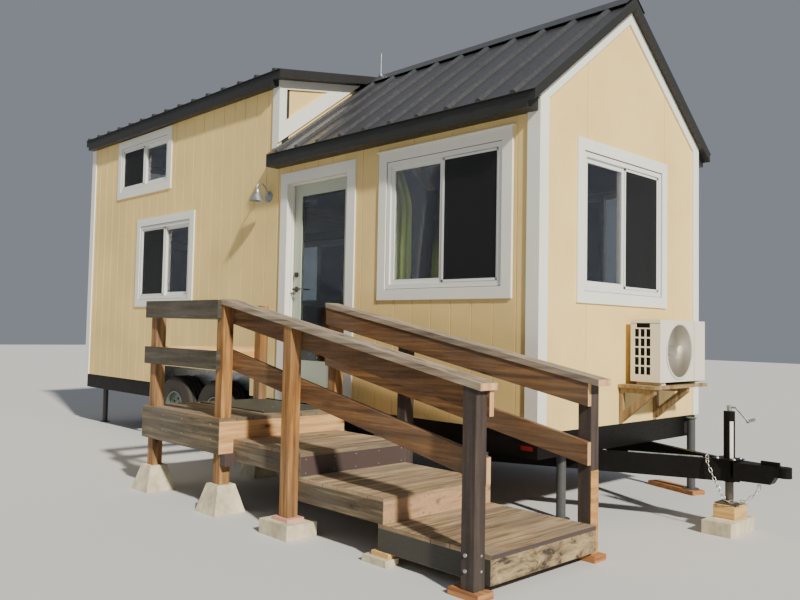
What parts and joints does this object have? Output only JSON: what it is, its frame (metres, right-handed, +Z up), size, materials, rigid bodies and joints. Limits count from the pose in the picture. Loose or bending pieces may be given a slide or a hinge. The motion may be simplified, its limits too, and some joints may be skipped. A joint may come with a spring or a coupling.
{
  "type": "tiny house on wheels",
  "caption": "Tiny house on a tandem-axle trailer with a dormer loft, gabled ribbed metal roof, sliding windows, glazed door and timber entry steps with handrails.",
  "frame": {"origin": "on the ground under the middle of the whole outline, house and steps together", "axes": "+X towards the tongue and coupler, +Y towards the side away from the door, +Z up"},
  "size_m": [8.587, 4.1118, 4.3488],
  "materials": {
    "siding": "satin paint, pale yellow",
    "white_trim": "satin paint, white",
    "white_vinyl": "semi-gloss",
    "roof_metal": "satin paint, charcoal",
    "fascia": "satin paint, near black",
    "window_glass": "clear",
    "door_glass": "clear",
    "door_paint": "satin paint, sage grey",
    "door_metal": "dark bronze",
    "frame_black": "semi-gloss paint, black",
    "jack_steel": "worn",
    "galvanised": "galvanised",
    "leg_paint": "satin, grey",
    "concrete": "rough cast",
    "block_timber": "rough sawn",
    "bracket_timber": "weathered",
    "plywood": "bare plywood",
    "post_timber": "stained",
    "rail_timber": "brown stain",
    "cap_timber": "weathered brown stain",
    "deck_timber": "weathered grey brown",
    "dark_timber": "worn dark paint",
    "ac_paint": "satin, off-white",
    "ac_plastic": "satin",
    "curtain_cloth": "woven cloth",
    "tyre_rubber": "worn rubber",
    "rim_steel": "galvanised grey"
  },
  "bodies": {
    "root": {"ac_bracket": "bracket_timber", "ac_grille": "ac_plastic", "ac_housing": "ac_paint", "axles": "frame_black", "concrete_blocks": "concrete", "corner_boards": "white_trim", "coupler": "frame_black", "curtain": "curtain_cloth", "curtain_rod": "door_metal", "door_board": "dark_timber", "door_frame": "white_trim", "door_header": "siding", "door_side_wall_front": "siding", "door_side_wall_rear": "siding", "far_side_wall": "siding", "floor": "plywood", "front_wall": "siding", "gable_trim": "white_trim", "jack_tube": "frame_black", "landing": "deck_timber", "leaf_springs": "frame_black", "loft_floor": "plywood", "loft_front_wall": "siding", "loft_roof": "fascia", "main_roof": "fascia", "porch_light": "galvanised", "railing_boards": "rail_timber", "railing_caps": "cap_timber", "railing_posts": "post_timber", "rear_wall": "siding", "ridge_caps": "roof_metal", "roof_mast": "galvanised", "roof_sheets": "roof_metal", "safety_chain": "galvanised", "stabiliser_legs": "leg_paint", "steps": "deck_timber", "timber_blocks": "block_timber", "tongue_beams": "frame_black", "trailer_frame": "frame_black", "wheel_wells": "galvanised", "window_casings": "white_trim", "window_frames": "white_vinyl", "window_glass": "window_glass"},
    "door": {"door_leaf": "door_paint", "door_glass": "door_glass", "door_handles": "door_metal"},
    "jack_leg": {"jack_leg": "jack_steel"},
    "jack_crank": {"jack_crank": "galvanised"},
    "ac_fan": {"ac_fan": "ac_plastic"},
    "wheel_near_rear": {"tyre_near_rear": "tyre_rubber", "rim_near_rear": "rim_steel"},
    "wheel_near_front": {"tyre_near_front": "tyre_rubber", "rim_near_front": "rim_steel"},
    "wheel_far_rear": {"tyre_far_rear": "tyre_rubber", "rim_far_rear": "rim_steel"},
    "wheel_far_front": {"tyre_far_front": "tyre_rubber", "rim_far_front": "rim_steel"}
  },
  "joints": [
    {"name": "door_hinge", "type": "hinge", "parent": "root", "child": "door", "pos_m": [1.0855, -0.4419, 1.7], "axis": [0, 0, -1], "range_deg": [0, 95]},
    {"name": "wheel_near_rear_spin", "type": "hinge", "parent": "root", "child": "wheel_near_rear", "pos_m": [-1.9595, -0.3894, 0.385], "axis": [0, 1, 0], "continuous": true},
    {"name": "wheel_near_front_spin", "type": "hinge", "parent": "root", "child": "wheel_near_front", "pos_m": [-1.0995, -0.3894, 0.385], "axis": [0, 1, 0], "continuous": true},
    {"name": "wheel_far_rear_spin", "type": "hinge", "parent": "root", "child": "wheel_far_rear", "pos_m": [-1.9595, 1.6936, 0.385], "axis": [0, 1, 0], "continuous": true},
    {"name": "wheel_far_front_spin", "type": "hinge", "parent": "root", "child": "wheel_far_front", "pos_m": [-1.0995, 1.6936, 0.385], "axis": [0, 1, 0], "continuous": true},
    {"name": "jack_extension", "type": "slide", "parent": "root", "child": "jack_leg", "axis": [0, 0, 1], "range_m": [0, 0.135]},
    {"name": "jack_crank_turn", "type": "hinge", "parent": "root", "child": "jack_crank", "pos_m": [3.8805, 0.6521, 0.85], "axis": [0, 0, 1], "continuous": true},
    {"name": "ac_fan_spin", "type": "hinge", "parent": "root", "child": "ac_fan", "pos_m": [3.2915, 0.9231, 1.246], "axis": [1, 0, 0], "continuous": true}
  ]
}
